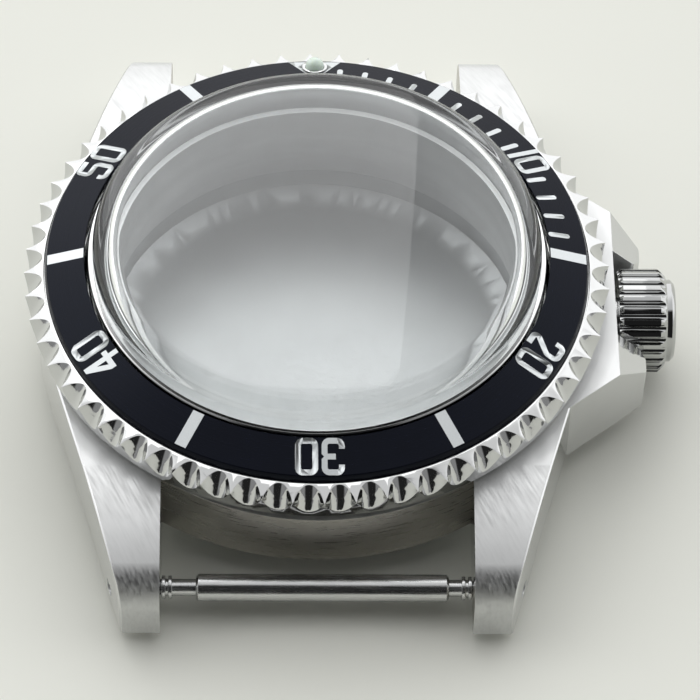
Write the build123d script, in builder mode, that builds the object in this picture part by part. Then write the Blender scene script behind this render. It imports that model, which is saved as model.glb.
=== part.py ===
"""An empty diver's watch case: steel body with lugs, turning bezel, domed crystal, screwed back and crown.

Millimetres. Z is up through the crystal, X points at the crown (3 o'clock) and Y at 12 o'clock.
The origin is on the case axis, at the outer face of the case back, which the case stands on.
"""
from build123d import *
import os
from math import acos, atan2, cos, hypot, pi, radians, sin, sqrt, tan

# Clearances and working values
running_gap = 0.05
press_gap = 0.02
seat_gap = 0.02
glue_gap = 0.03
bezel_float = 0.10
back_top_gap = 0.05
overrun = 2.0

# Bores and threads of the body, each step outward from the one before
dial_bore_radius = 13.2
dial_ledge = 0.7
thread_ledge = 1.0
gasket_ledge = 0.8
gasket_seat_depth = 0.45
neck_wall = 0.42

# Heights of the body
case_bottom = 1.9
case_thickness = 5.25
neck_rise = 2.45
dial_seat_rise = 3.5
thread_depth = 1.15
underside_bevel = 0.5

# Lugs
lug_gap = 20.0
lug_width = 2.55
lug_length = 4.7
lug_drop = 1.1
lug_fall_length = 9.7
lug_fall_radius = 22.5
lug_nose_radius = 3.0
lug_sole_length = 0.9
lug_sole_span = 6.4
lug_sole_rise = 0.35
lug_edge_bevel = 0.12

# Crown guards
boss_length = 1.3
boss_root_inset = 2.1
boss_root_flare = 2.7
guard_length = 1.95
guard_nose_inset = 0.45
guard_clearance = 0.15
guard_nose_bevel = 0.6
guard_tip_width = 1.1
guard_flare = 1.7
guard_fall = 1.85
guard_corner_radius = 0.35

# Case back
back_lip = 0.5
back_edge_bevel = 0.7
back_floor = 0.8
back_bowl_wall = 2.6
back_bowl_rise = 0.7
back_rim_wall = 0.95
back_thread_pitch = 0.5
back_travel = 1.5
back_gasket_wire = 0.36
key_notch_count = 6
key_notch_width = 2.4
key_notch_depth = 1.0
key_notch_height = 0.6

# Crystal
crystal_skirt = 1.06
crystal_rise = 7.31
crystal_dome_radius = 76.0
crystal_shoulder_radius = 1.4
crystal_thickness = 1.7
crystal_inner_shoulder_radius = 1.3

# Crystal retaining ring
ring_wall = 0.34
ring_rise = 3.93
ring_edge_bevel = 0.09
ring_ridge_width = 0.36
ring_ridge_rise = 1.9
ring_ridge_height = 0.3

# Bezel
ridge_bore_gap = 0.10
insert_bore_gap = 0.21
bezel_face_width = 2.75
bezel_flare = 1.24
bezel_ridge_rise = 2.23
bezel_rim_width = 0.04
bezel_rim_rise = 2.67
bezel_overhang = 0.76
bezel_skirt_inset = 0.41
bezel_skirt_height = 0.32
bezel_foot_inset = 0.81
bezel_spring_recess_inset = 0.75
bezel_spring_recess_depth = 0.70
scallop_count = 60
scallop_slant = 29.5
scallop_depth = 0.80
scallop_section_height = 2.4
scallop_land = 0.03
scallop_turn = 4.25

# Bezel spring washer
washer_bore_gap = 0.36
washer_rim_gap = 0.30
washer_thickness = 0.15
washer_wave_count = 3
washer_wave_length = 12.0
washer_wave_gap = 0.05

# Bezel insert and its marks
insert_edge_gap = 0.10
insert_rise = 3.96
insert_slope = 18.1
insert_thickness = 0.50
insert_edge_width = 0.14
insert_edge_drop = 0.40
mark_depth = 0.12
mark_turn = 0.4
bar_margin = 0.04
bar_length = 2.39
bar_width = 0.80
tick_margin = 0.05
tick_length = 1.44
tick_width = 0.38
numeral_margin = 0.04
numeral_height = 2.38
numeral_width = 1.46
numeral_stroke = 0.37
numeral_space = 0.22
numeral_corner_radius = 0.50
numeral_bend_radius = 0.28
numeral_nick_radius = 0.22
triangle_margin = 0.14
triangle_height = 2.28
triangle_half_width = 1.77

# Luminous pearl
pearl_inset = 0.80
pearl_radius = 0.63
pearl_depth = 0.20
pearl_crown = 0.78
cup_wall = 0.20
cup_wall_gap = 0.02
cup_floor = 0.14
cup_rim = 0.15

# Crown and its tube
crown_rise = 2.3
crown_standoff = 0.27
crown_barrel_length = 2.96
crown_radius = 3.45
crown_edge_bevel = 0.25
crown_step_inset = 0.45
crown_step_length = 0.22
crown_disc_inset = 0.70
crown_disc_length = 0.81
crown_disc_bevel = 0.24
flute_count = 26
flute_radius = 0.24
flute_depth = 0.36
core_wall = 0.60
core_length = 2.33
core_start_gap = 0.08
tube_bore_radius = 0.95
tube_body_wall = 0.30
tube_thread_wall = 0.60
tube_stand = 1.8
tube_ledge = 1.3
tube_groove_wall = 0.28
tube_groove_width = 0.46
tube_groove_pitch = 0.80
tube_groove_first = 0.45
tube_gasket_wire = 0.36
stem_hole_gap = 0.15
post_gap = 0.12
post_recess = 1.8
post_head_flare = 0.52
post_head_gap = 0.10
post_head_length = 0.33
post_tap_radius = 0.45
post_tap_length = 3.0
post_travel = 0.55
crown_gasket_thickness = 0.33
crown_washer_thickness = 0.18
crown_spring_solid_length = 0.30
crown_spring_wall = 0.2
crown_thread_pitch = 0.35
crown_travel = 1.3

# Spring bars
bar_setback = 2.6
bar_rise = 1.4
bar_tube_bore_radius = 0.64
bar_tube_wall = 0.24
bar_end_reveal = 1.9
bar_tube_shift = 0.36
bar_lip_gap = 0.05
bar_lip_length = 0.4
bar_tube_edge = 0.15
pin_radius = 0.55
pin_tip_inset = 0.05
pin_tip_chamfer = 0.12
pin_hole_gap = 0.06
pin_flange_gap = 0.07
pin_flange_width = 0.21
pin_flange_length = 0.65
pin_flange_groove_share = 0.28
pin_flange_waist_width = 0.01
pin_head_gap = 0.025
pin_head_length = 0.5
pin_travel = 0.75
bar_spring_length = 6.3
bar_spring_gap = 0.16
bar_spring_wire = 0.20
bar_spring_turns = 9

# Radii of the body, the crystal and the bezel
movement_bore_radius = dial_bore_radius + dial_ledge
thread_radius = movement_bore_radius + thread_ledge
gasket_seat_radius = thread_radius + gasket_ledge
back_flange_radius = gasket_seat_radius + back_lip
back_rim_radius = thread_radius - back_rim_wall
back_bowl_radius = thread_radius - back_bowl_wall
neck_radius = dial_bore_radius + neck_wall
crystal_inner_radius = dial_bore_radius
crystal_radius = neck_radius + press_gap + crystal_skirt
ring_radius = crystal_radius + press_gap + ring_wall
ring_ridge_radius = ring_radius + ring_ridge_width
bezel_bore_radius = ring_radius + running_gap
bezel_ridge_bore_radius = ring_ridge_radius + ridge_bore_gap
insert_inner_radius = ring_radius + insert_bore_gap
bezel_rim_radius = insert_inner_radius + bezel_face_width
insert_outer_radius = bezel_rim_radius - bezel_rim_width - insert_edge_gap
insert_face_radius = insert_outer_radius - insert_edge_width
bezel_radius = bezel_rim_radius + bezel_flare
bezel_skirt_radius = bezel_radius - bezel_skirt_inset
bezel_foot_radius = bezel_radius - bezel_foot_inset
bezel_spring_recess_radius = bezel_foot_radius - bezel_spring_recess_inset
washer_inner_radius = ring_radius + washer_bore_gap
washer_outer_radius = bezel_spring_recess_radius - washer_rim_gap
case_radius = bezel_radius - bezel_overhang

# Heights of the body, the crystal and the bezel
case_top = case_bottom + case_thickness
thread_top = case_bottom + thread_depth
dial_seat_height = case_bottom + dial_seat_rise
neck_top = case_top + neck_rise
crystal_apex = case_top + crystal_rise
ring_top = case_top + ring_rise
ring_ridge_bottom = case_top + ring_ridge_rise
bezel_bottom = case_top + bezel_float
bezel_ridge_height = case_top + bezel_ridge_rise
bezel_rim_height = case_top + bezel_rim_rise
insert_inner_height = case_top + insert_rise
lip_bottom = bezel_bottom + bezel_spring_recess_depth
lip_top = ring_ridge_bottom - bezel_float

# Places of the marks and the pearl on the insert
bar_inner_radius = insert_inner_radius + bar_margin
bar_outer_radius = bar_inner_radius + bar_length
tick_inner_radius = insert_inner_radius + tick_margin
tick_outer_radius = tick_inner_radius + tick_length
numeral_inner_radius = insert_inner_radius + numeral_margin
triangle_base_radius = insert_face_radius - triangle_margin
triangle_apex_radius = triangle_base_radius - triangle_height
pearl_place_radius = triangle_base_radius - pearl_inset
cup_radius = pearl_radius + cup_wall_gap + cup_wall
insert_fall = tan(radians(insert_slope))
skin_rise = 1 / cos(radians(insert_slope))

# Lug outline and heights
lug_reach = case_radius + lug_length
lug_tip_half_width = lug_gap / 2 + lug_width
lug_tip_bottom = case_bottom - lug_drop
lug_flat_reach = lug_reach - lug_fall_length
lug_sole_root = lug_reach - lug_sole_span
tip_distance = hypot(lug_reach, lug_tip_half_width)
tangent_angle = atan2(lug_reach, lug_tip_half_width) - acos(case_radius / tip_distance)
tangent_x = case_radius * cos(tangent_angle)
tangent_y = case_radius * sin(tangent_angle)
bar_axis_reach = lug_reach - bar_setback
bar_axis_height = lug_tip_bottom + bar_rise

# Crown guards round the crown
boss_reach = case_radius + boss_length
guard_reach = boss_reach + guard_length
guard_nose = guard_reach - guard_nose_inset
guard_gap = (crown_radius + guard_clearance) * 2
guard_tip_inner = guard_gap / 2 + guard_nose_bevel
guard_tip_outer = guard_tip_inner + guard_tip_width
guard_tip_height = case_top - guard_fall
boss_half_length = guard_tip_outer + guard_flare
boss_root_reach = case_radius - boss_root_inset
boss_root_half_length = boss_half_length + boss_root_flare

# Crown, outward along its axis
crown_height = case_bottom + crown_rise
crown_axis = Axis((0, 0, crown_height), (1, 0, 0))
crown_plane = Plane(origin=(0, 0, crown_height), x_dir=(1, 0, 0), z_dir=(0, -1, 0))
crown_section = Plane(origin=(0, 0, crown_height), x_dir=(0, 1, 0), z_dir=(1, 0, 0))
tube_inner_end = movement_bore_radius + tube_ledge
tube_end = boss_reach + tube_stand
tube_body_radius = tube_bore_radius + tube_body_wall
tube_thread_radius = tube_bore_radius + tube_thread_wall
tube_groove_radius = tube_bore_radius + tube_groove_wall + seat_gap * 2
stem_hole_radius = tube_bore_radius + stem_hole_gap
post_radius = tube_bore_radius - post_gap
post_inner_end = tube_inner_end + post_recess
post_head_radius = post_radius + post_head_flare
chamber_radius = post_head_radius + post_head_gap
core_radius = tube_thread_radius + running_gap + core_wall
crown_inner_end = boss_reach + crown_standoff
crown_barrel_end = crown_inner_end + crown_barrel_length
crown_end = crown_barrel_end + crown_disc_length
crown_step_radius = crown_radius - crown_step_inset
crown_disc_radius = crown_radius - crown_disc_inset
core_end = crown_inner_end + core_length
gasket_front = tube_end + seat_gap
washer_front = gasket_front + crown_gasket_thickness + seat_gap
head_front = washer_front + crown_washer_thickness + seat_gap
head_back = head_front + post_head_length
chamber_end = head_back + post_travel + crown_spring_solid_length

# Spring bars, outward from the middle
bar_tube_length = lug_gap - bar_end_reveal * 2
bar_tube_radius = bar_tube_bore_radius + bar_tube_wall
bar_lip_radius = pin_radius + bar_lip_gap
pin_tip_radius = pin_radius - pin_tip_inset
pin_tip_length = pin_travel + seat_gap
pin_flange_radius = pin_radius + pin_flange_width
pin_flange_waist_radius = pin_radius + pin_flange_waist_width
pin_head_radius = bar_tube_bore_radius - pin_head_gap
bar_spring_coil_radius = bar_tube_bore_radius - bar_spring_gap - bar_spring_wire / 2

os.makedirs("parts", exist_ok=True)


def save(piece, name):
    """Labels a finished piece and writes it as its own file."""
    piece.label = name
    export_step(piece, f"parts/{name}.step")


def insert_height(radius, sink=0.0):
    """Height of the insert's sloping face at a radius, sunk by a distance square to that face."""
    return insert_inner_height - insert_fall * (radius - insert_inner_radius) - sink * skin_rise


def minute_place(minute, radius):
    """Place on the dial plane for a minute mark, turned so that its top points outward."""
    angle = 90.0 + mark_turn - 360.0 * minute / 60
    return Location((radius * cos(radians(angle)), radius * sin(radians(angle)), 0), angle - 90.0)


def shoulder(wall_radius, apex, dome_radius, shoulder_radius):
    """Start height of a dome's rounded shoulder, and the point where the shoulder meets the dome."""
    centre_radius = wall_radius - shoulder_radius
    centre_drop = sqrt((dome_radius - shoulder_radius) ** 2 - centre_radius**2)
    start = apex - dome_radius + centre_drop
    reach = dome_radius / (dome_radius - shoulder_radius)
    return start, (centre_radius * reach, apex - dome_radius + centre_drop * reach)


def dome_line(wall_radius, foot, apex, dome_radius, shoulder_radius):
    """Draws a wall, a rounded shoulder and a shallow dome up to the axis, in the pending line."""
    start, meeting = shoulder(wall_radius, apex, dome_radius, shoulder_radius)
    middle_radius = meeting[0] / 2
    middle_height = apex - dome_radius + sqrt(dome_radius**2 - middle_radius**2)
    Line((wall_radius, foot), (wall_radius, start))
    TangentArc((wall_radius, start), meeting, tangent=(0, 1))
    ThreePointArc(meeting, (middle_radius, middle_height), (0, apex))


# Mid-case: body, lugs and crown guards
guard_side = [
    (boss_root_reach, boss_root_half_length),
    (boss_reach, boss_half_length),
    (guard_reach, guard_tip_outer),
    (guard_reach, guard_tip_inner),
    (guard_nose, guard_gap / 2),
    (boss_reach, guard_gap / 2),
]
lug_corners = [(tangent_x, tangent_y), (lug_tip_half_width, lug_reach)]
lug_outline = (
    lug_corners
    + [(-x, y) for x, y in reversed(lug_corners)]
    + [(-x, -y) for x, y in lug_corners]
    + [(x, -y) for x, y in reversed(lug_corners)]
)
fall_drop = lug_fall_radius - lug_nose_radius
nose_centre_reach = lug_reach - lug_nose_radius
fall_centre_height = case_top - lug_fall_radius
nose_centre_height = fall_centre_height + sqrt(fall_drop**2 - (nose_centre_reach - lug_flat_reach) ** 2)
nose_start = (
    lug_flat_reach + (nose_centre_reach - lug_flat_reach) * lug_fall_radius / fall_drop,
    fall_centre_height + (nose_centre_height - fall_centre_height) * lug_fall_radius / fall_drop,
)


def lies_on_lug_edge(edge):
    """Whether an edge runs along the outer top edge of a lug."""
    middle = edge @ 0.5
    outward = abs(middle.X) * cos(tangent_angle) + abs(middle.Y) * sin(tangent_angle)
    upright = abs((edge % 0.5).Z) > cos(radians(5.0))
    return abs(outward - case_radius) < seat_gap and middle.Z > nose_centre_height and not upright


with BuildPart() as foot_cutter:
    with BuildSketch(Plane.XZ):
        Polygon(
            (case_radius - underside_bevel - overrun, case_bottom - overrun),
            (case_radius + overrun, case_bottom - overrun),
            (case_radius + overrun, case_bottom + underside_bevel + overrun),
        )
    revolve(axis=Axis.Z)
    with BuildSketch(Plane.XY.offset(case_bottom - overrun)):
        Rectangle(lug_gap, (case_radius + overrun) * 2)
    extrude(amount=case_top, mode=Mode.INTERSECT)

with BuildPart() as mid_case:
    with BuildSketch(Plane.XY.offset(lug_tip_bottom)):
        Polygon(*lug_outline)
        with Locations((0, lug_reach), (0, -lug_reach)):
            Rectangle(lug_gap, lug_reach * 2, mode=Mode.SUBTRACT)
        Circle(case_radius)
    extrude(amount=case_top - lug_tip_bottom)
    with BuildSketch(Plane.XY.offset(case_bottom)) as guards:
        Polygon(*guard_side, *[(x, -y) for x, y in reversed(guard_side)])
        guard_corners = guards.vertices().filter_by(lambda point: point.X > boss_reach + seat_gap)
        fillet(guard_corners, guard_corner_radius)
    extrude(amount=case_top - case_bottom)
    # Side view of the lugs: flat, long fall, rounded nose, then the hollow sole
    with BuildSketch(Plane.YZ):
        with BuildLine():
            Line((0, case_top), (lug_flat_reach, case_top))
            TangentArc((lug_flat_reach, case_top), nose_start, tangent=(1, 0))
            RadiusArc(nose_start, (lug_reach, nose_centre_height), lug_nose_radius)
            Line((lug_reach, nose_centre_height), (lug_reach, lug_tip_bottom))
            Line((lug_reach, lug_tip_bottom), (lug_reach - lug_sole_length, lug_tip_bottom))
            SagittaArc(
                (lug_reach - lug_sole_length, lug_tip_bottom),
                (lug_sole_root, case_bottom),
                lug_sole_rise,
            )
            Line((lug_sole_root, case_bottom), (0, case_bottom))
            mirror(about=Plane.YZ)
        make_face()
    extrude(amount=guard_reach + overrun, both=True, mode=Mode.INTERSECT)
    # Polished bevels: along the outer top edges of the lugs, and at the foot of the body between them
    chamfer(mid_case.edges().filter_by(lies_on_lug_edge), lug_edge_bevel)
    add(foot_cutter.part, mode=Mode.SUBTRACT)
    # Polished slope that falls from the boss to the guard tips
    with BuildSketch(Plane.XZ):
        Polygon(
            (boss_reach, case_top),
            (guard_reach, guard_tip_height),
            (guard_reach + overrun, guard_tip_height),
            (guard_reach + overrun, case_top + overrun),
            (boss_reach, case_top + overrun),
        )
    extrude(amount=boss_root_half_length, both=True, mode=Mode.SUBTRACT)
    # Neck under the crystal
    with BuildSketch(Plane.XY.offset(case_top)):
        Circle(neck_radius)
    extrude(amount=neck_top - case_top)
    # Bores, from the back upward
    with BuildSketch(Plane.XY.offset(case_bottom)):
        Circle(gasket_seat_radius)
    extrude(amount=gasket_seat_depth, mode=Mode.SUBTRACT)
    with BuildSketch(Plane.XY.offset(case_bottom)):
        Circle(thread_radius)
    extrude(amount=thread_top - case_bottom, mode=Mode.SUBTRACT)
    with BuildSketch(Plane.XY.offset(case_bottom)):
        Circle(movement_bore_radius)
    extrude(amount=dial_seat_height - case_bottom, mode=Mode.SUBTRACT)
    with BuildSketch(Plane.XY.offset(case_bottom)):
        Circle(dial_bore_radius)
    extrude(amount=neck_top - case_bottom, mode=Mode.SUBTRACT)
    # Crown tube hole, and the smaller stem hole inside it
    with BuildSketch(crown_section.offset(tube_inner_end)):
        Circle(tube_body_radius + press_gap)
    extrude(amount=boss_reach + overrun - tube_inner_end, mode=Mode.SUBTRACT)
    with BuildSketch(crown_section.offset(dial_bore_radius - overrun)):
        Circle(stem_hole_radius)
    extrude(amount=boss_reach - dial_bore_radius, mode=Mode.SUBTRACT)
    # Holes drilled through the lugs for the spring bars
    with BuildSketch(Plane.YZ):
        with Locations((bar_axis_reach, bar_axis_height), (-bar_axis_reach, bar_axis_height)):
            Circle(pin_tip_radius + pin_hole_gap)
    extrude(amount=lug_tip_half_width + overrun, both=True, mode=Mode.SUBTRACT)
save(mid_case.part, "mid_case")

# Case back: flange, threaded ring and shallow bowl
flange_top = case_bottom - seat_gap
with BuildPart() as case_back:
    with BuildSketch(Plane.XZ):
        Polygon(
            (0, 0),
            (back_flange_radius - back_edge_bevel, 0),
            (back_flange_radius, back_edge_bevel),
            (back_flange_radius, flange_top),
            (thread_radius - running_gap, flange_top),
            (thread_radius - running_gap, thread_top - back_top_gap),
            (back_rim_radius, thread_top - back_top_gap),
            (back_rim_radius, back_floor + back_bowl_rise),
            (back_bowl_radius, back_floor),
            (0, back_floor),
        )
    revolve(axis=Axis.Z)
    with BuildSketch(Plane.XY):
        with PolarLocations(back_flange_radius, key_notch_count):
            Rectangle(key_notch_depth * 2, key_notch_width)
    extrude(amount=key_notch_height, mode=Mode.SUBTRACT)
save(case_back.part, "case_back")

with BuildPart() as case_back_gasket:
    with BuildSketch(Plane.XZ):
        with Locations(
            ((thread_radius + gasket_seat_radius) / 2, case_bottom + gasket_seat_depth / 2)
        ):
            Circle(back_gasket_wire / 2)
    revolve(axis=Axis.Z)
save(case_back_gasket.part, "case_back_gasket")

# Domed crystal: a skirt over the neck, an upright wall and a shallow dome
skirt_foot = case_top + running_gap
ledge_height = neck_top + seat_gap
with BuildPart() as crystal:
    with BuildSketch(Plane.XZ):
        with BuildLine():
            dome_line(
                crystal_radius, skirt_foot, crystal_apex, crystal_dome_radius, crystal_shoulder_radius
            )
            Line((0, crystal_apex), (0, skirt_foot))
            Line((0, skirt_foot), (crystal_radius, skirt_foot))
        make_face()
    revolve(axis=Axis.Z)
    with BuildSketch(Plane.XZ):
        with BuildLine():
            dome_line(
                crystal_inner_radius,
                skirt_foot,
                crystal_apex - crystal_thickness,
                crystal_dome_radius - crystal_thickness,
                crystal_inner_shoulder_radius,
            )
            Line((0, crystal_apex - crystal_thickness), (0, skirt_foot))
            Line((0, skirt_foot), (crystal_inner_radius, skirt_foot))
        make_face()
    revolve(axis=Axis.Z, mode=Mode.SUBTRACT)
    with BuildSketch(Plane.XY.offset(skirt_foot)):
        Circle(neck_radius + press_gap)
    extrude(amount=ledge_height - skirt_foot, mode=Mode.SUBTRACT)
save(crystal.part, "crystal")

# Ring pressed round the crystal, with the ridge that holds the bezel down
with BuildPart() as crystal_retaining_ring:
    with BuildSketch(Plane.XZ):
        Polygon(
            (crystal_radius + press_gap, case_top + seat_gap),
            (ring_radius, case_top + seat_gap),
            (ring_radius, ring_ridge_bottom),
            (ring_ridge_radius, ring_ridge_bottom),
            (ring_ridge_radius, ring_ridge_bottom + ring_ridge_height),
            (ring_radius, ring_ridge_bottom + ring_ridge_height * 2),
            (ring_radius, ring_top - ring_edge_bevel),
            (ring_radius - ring_edge_bevel, ring_top),
            (crystal_radius + press_gap, ring_top),
        )
    revolve(axis=Axis.Z)
save(crystal_retaining_ring.part, "crystal_retaining_ring")

# Cutter for one scallop: an oval rod that slants outward as it goes down
scallop_half_chord = bezel_radius * sin(pi / scallop_count) - scallop_land / 2
scallop_centre_rise = scallop_section_height - scallop_depth
scallop_mouth_share = sqrt(1 - (scallop_centre_rise / scallop_section_height) ** 2)
scallop_section_half_width = scallop_half_chord / scallop_mouth_share
scallop_plane = Plane(
    origin=(bezel_radius * cos(pi / scallop_count), 0, bezel_ridge_height),
    x_dir=(0, 1, 0),
    z_dir=(sin(radians(scallop_slant)), 0, -cos(radians(scallop_slant))),
)
with BuildPart() as scallop_cutter:
    with BuildSketch(scallop_plane):
        with Locations((0, scallop_centre_rise)):
            Ellipse(scallop_section_half_width, scallop_section_height)
    extrude(amount=bezel_flare + overrun, both=True)

# Turning bezel: a shallow and a steep bevel that meet in a sharp ridge, scalloped all round
rim_inner_radius = bezel_rim_radius - bezel_rim_width
seat_sink = insert_thickness + glue_gap
with BuildPart() as bezel:
    with BuildSketch(Plane.XZ):
        Polygon(
            (bezel_bore_radius, lip_bottom),
            (bezel_bore_radius, lip_top),
            (bezel_ridge_bore_radius, lip_top),
            (bezel_ridge_bore_radius, insert_height(bezel_ridge_bore_radius, seat_sink)),
            (rim_inner_radius, insert_height(rim_inner_radius, seat_sink)),
            (rim_inner_radius, bezel_rim_height),
            (bezel_rim_radius, bezel_rim_height),
            (bezel_radius, bezel_ridge_height),
            (bezel_skirt_radius, bezel_bottom + bezel_skirt_height),
            (bezel_foot_radius, bezel_bottom),
            (bezel_spring_recess_radius, bezel_bottom),
            (bezel_spring_recess_radius, lip_bottom),
        )
    revolve(axis=Axis.Z)
    with PolarLocations(0, scallop_count, scallop_turn):
        add(scallop_cutter.part, mode=Mode.SUBTRACT)
save(bezel.part, "bezel")

# Wave washer under the bezel: a flat ring whose waves press it upward
washer_bottom = case_top + seat_gap
wave_rise = lip_bottom - washer_wave_gap - washer_thickness - washer_bottom
with BuildPart() as bezel_spring_washer:
    # Flat ring, then three windows in it that the waves bridge
    with BuildSketch(Plane.XY.offset(washer_bottom)):
        Circle(washer_outer_radius)
        Circle(washer_inner_radius, mode=Mode.SUBTRACT)
        with PolarLocations(washer_outer_radius, washer_wave_count):
            Rectangle(washer_outer_radius, washer_wave_length, mode=Mode.SUBTRACT)
    extrude(amount=washer_thickness)
    with BuildPart(mode=Mode.PRIVATE) as waves:
        for turn in range(washer_wave_count):
            around = 2 * pi * turn / washer_wave_count
            outward = (cos(around), sin(around), 0)
            sideways = (-sin(around), cos(around), 0)
            side = Plane(origin=(0, 0, washer_bottom), x_dir=sideways, z_dir=outward)
            with BuildSketch(side):
                with BuildLine():
                    foot = washer_wave_length / 2
                    lower = Spline(
                        (-foot, 0), (0, wave_rise), (foot, 0), tangents=[(1, 0), (1, 0)]
                    )
                    upper = Spline(
                        (-foot, washer_thickness),
                        (0, wave_rise + washer_thickness),
                        (foot, washer_thickness),
                        tangents=[(1, 0), (1, 0)],
                    )
                    Line(lower @ 0, upper @ 0)
                    Line(lower @ 1, upper @ 1)
                make_face()
            extrude(amount=washer_outer_radius + overrun)
        with BuildSketch(Plane.XY.offset(washer_bottom)):
            Circle(washer_outer_radius)
            Circle(washer_inner_radius, mode=Mode.SUBTRACT)
        extrude(amount=wave_rise + washer_thickness, mode=Mode.INTERSECT)
    add(waves.part)
save(bezel_spring_washer.part, "bezel_spring_washer")


def stroke(points, radii):
    """Draws a pen stroke of a numeral through points given in half widths and half heights."""
    reach_x = (numeral_width - numeral_stroke) / 2
    reach_y = (numeral_height - numeral_stroke) / 2
    corners = [(x * reach_x, y * reach_y) for x, y in points]
    with BuildLine() as pen:
        if len(corners) == 2:
            Line(*corners)
        else:
            FilletPolyline(*corners, radius=radii)
    trace(pen.line, line_width=numeral_stroke)


three_opening_share = 2.4
three_arm_share = 0.65
four_outline_shares = [
    (0.55, 1),
    (0.05, 1),
    (-1, -0.23),
    (-1, -0.53),
    (0.05, -0.53),
    (0.05, -1),
    (0.55, -1),
    (0.55, -0.53),
    (1, -0.53),
    (1, -0.23),
    (0.55, -0.23),
]
four_window_shares = [(-0.43, -0.23), (0.05, -0.23), (0.05, 0.33)]


def digit(value):
    """One digit of the bezel's numerals, centred, in a squared style with round corners."""
    bend = numeral_bend_radius
    nick = numeral_nick_radius
    reach_x = (numeral_width - numeral_stroke) / 2
    reach_y = (numeral_height - numeral_stroke) / 2
    with BuildSketch() as glyph:
        if value in ("0", "3"):
            RectangleRounded(numeral_width, numeral_height, numeral_corner_radius)
            RectangleRounded(
                numeral_width - numeral_stroke * 2,
                numeral_height - numeral_stroke * 2,
                numeral_corner_radius - numeral_stroke,
                mode=Mode.SUBTRACT,
            )
        if value == "1":
            Rectangle(numeral_stroke, numeral_height)
        if value == "2":
            hook_shares = [(-1, 0.45), (-1, 1), (1, 1), (1, 0.3), (-1, -1), (1, -1)]
            stroke(hook_shares, [bend, bend, bend, nick])
        if value == "3":
            with Locations((-numeral_width / 2, 0)):
                Rectangle(numeral_stroke * three_opening_share, reach_y, mode=Mode.SUBTRACT)
            with Locations(((1 - three_arm_share) * reach_x, 0)):
                Rectangle(reach_x * three_arm_share * 2, numeral_stroke)
            with Locations((numeral_width / 2, 0)):
                Rectangle(nick, nick, rotation=45, mode=Mode.SUBTRACT)
        if value == "4":
            Polygon(*[(x * numeral_width / 2, y * numeral_height / 2) for x, y in four_outline_shares])
            Polygon(
                *[(x * numeral_width / 2, y * numeral_height / 2) for x, y in four_window_shares],
                mode=Mode.SUBTRACT,
            )
        if value == "5":
            flag_shares = [(1, 1), (-1, 1), (-1, 0.2), (1, 0.2), (1, -1), (-1, -1), (-1, -0.5)]
            stroke(flag_shares, [nick, nick, bend, bend, bend])
    return glyph.sketch


def numeral(value):
    """The two digits of a numeral side by side, centred on the origin."""
    widths = [numeral_stroke if figure == "1" else numeral_width for figure in str(value)]
    left = -(sum(widths) + numeral_space) / 2
    with BuildSketch() as pair:
        for figure, width in zip(str(value), widths):
            with Locations((left + width / 2, 0)):
                add(digit(figure))
            left += width + numeral_space
    return pair.sketch


def mark_cutter(faces):
    """Cutter for marks whose plan is the given faces, down to the floor of the shallow pockets."""
    top = insert_inner_height + overrun
    with BuildPart() as piece:
        with BuildSketch(Plane.XY.offset(case_top)):
            add(faces)
        extrude(amount=top - case_top)
        with BuildSketch(Plane.XZ):
            Polygon(
                (insert_inner_radius - overrun, insert_height(insert_inner_radius - overrun, mark_depth)),
                (insert_outer_radius + overrun, insert_height(insert_outer_radius + overrun, mark_depth)),
                (insert_outer_radius + overrun, top + overrun),
                (insert_inner_radius - overrun, top + overrun),
            )
        revolve(axis=Axis.Z, mode=Mode.INTERSECT)
    return piece.part


# Marks of the insert: numerals, five-minute bars, minute ticks and the triangle at zero
pearl_place = minute_place(0, pearl_place_radius)
pearl_angle = radians(90.0 + mark_turn)
pearl_plane = Plane(
    origin=(pearl_place.position.X, pearl_place.position.Y, insert_height(pearl_place_radius)),
    x_dir=(sin(pearl_angle), -cos(pearl_angle), 0),
    z_dir=(insert_fall * cos(pearl_angle), insert_fall * sin(pearl_angle), 1),
)
with BuildSketch() as numeral_faces:
    for minute in range(10, 60, 10):
        with Locations(minute_place(minute, numeral_inner_radius + numeral_height / 2)):
            add(numeral(minute))
with BuildSketch() as bar_faces:
    for minute in range(5, 60, 10):
        with Locations(minute_place(minute, (bar_inner_radius + bar_outer_radius) / 2)):
            Rectangle(bar_width, bar_outer_radius - bar_inner_radius)
with BuildSketch() as tick_faces:
    for minute in range(1, 15):
        if minute % 5:
            with Locations(minute_place(minute, (tick_inner_radius + tick_outer_radius) / 2)):
                SlotOverall(tick_outer_radius - tick_inner_radius, tick_width, rotation=90)
with BuildSketch() as triangle_face:
    with Locations(minute_place(0, triangle_apex_radius)):
        Polygon(
            (0, 0),
            (triangle_half_width, triangle_base_radius - triangle_apex_radius),
            (-triangle_half_width, triangle_base_radius - triangle_apex_radius),
        )
with BuildPart() as pearl_hole:
    with BuildSketch(pearl_plane.offset(-insert_thickness * 2)):
        Circle(cup_radius + cup_wall_gap)
    extrude(amount=insert_thickness * 4)

with BuildPart() as bezel_insert:
    with BuildSketch(Plane.XZ):
        Polygon(
            (insert_inner_radius, insert_height(insert_inner_radius, insert_thickness)),
            (insert_outer_radius, insert_height(insert_outer_radius, insert_thickness)),
            (insert_outer_radius, insert_height(insert_face_radius) - insert_edge_drop),
            (insert_face_radius, insert_height(insert_face_radius)),
            (insert_inner_radius, insert_height(insert_inner_radius)),
        )
    revolve(axis=Axis.Z)
    add(pearl_hole.part, mode=Mode.SUBTRACT)
    for name, faces in (
        ("numerals", numeral_faces.sketch),
        ("five_minute_bars", bar_faces.sketch),
        ("minute_ticks", tick_faces.sketch),
        ("zero_triangle", triangle_face.sketch),
    ):
        cutter = mark_cutter(faces)
        save(bezel_insert.part & cutter, name)
        for solid in cutter.solids():
            add(solid, mode=Mode.SUBTRACT)
save(bezel_insert.part, "bezel_insert")

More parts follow.
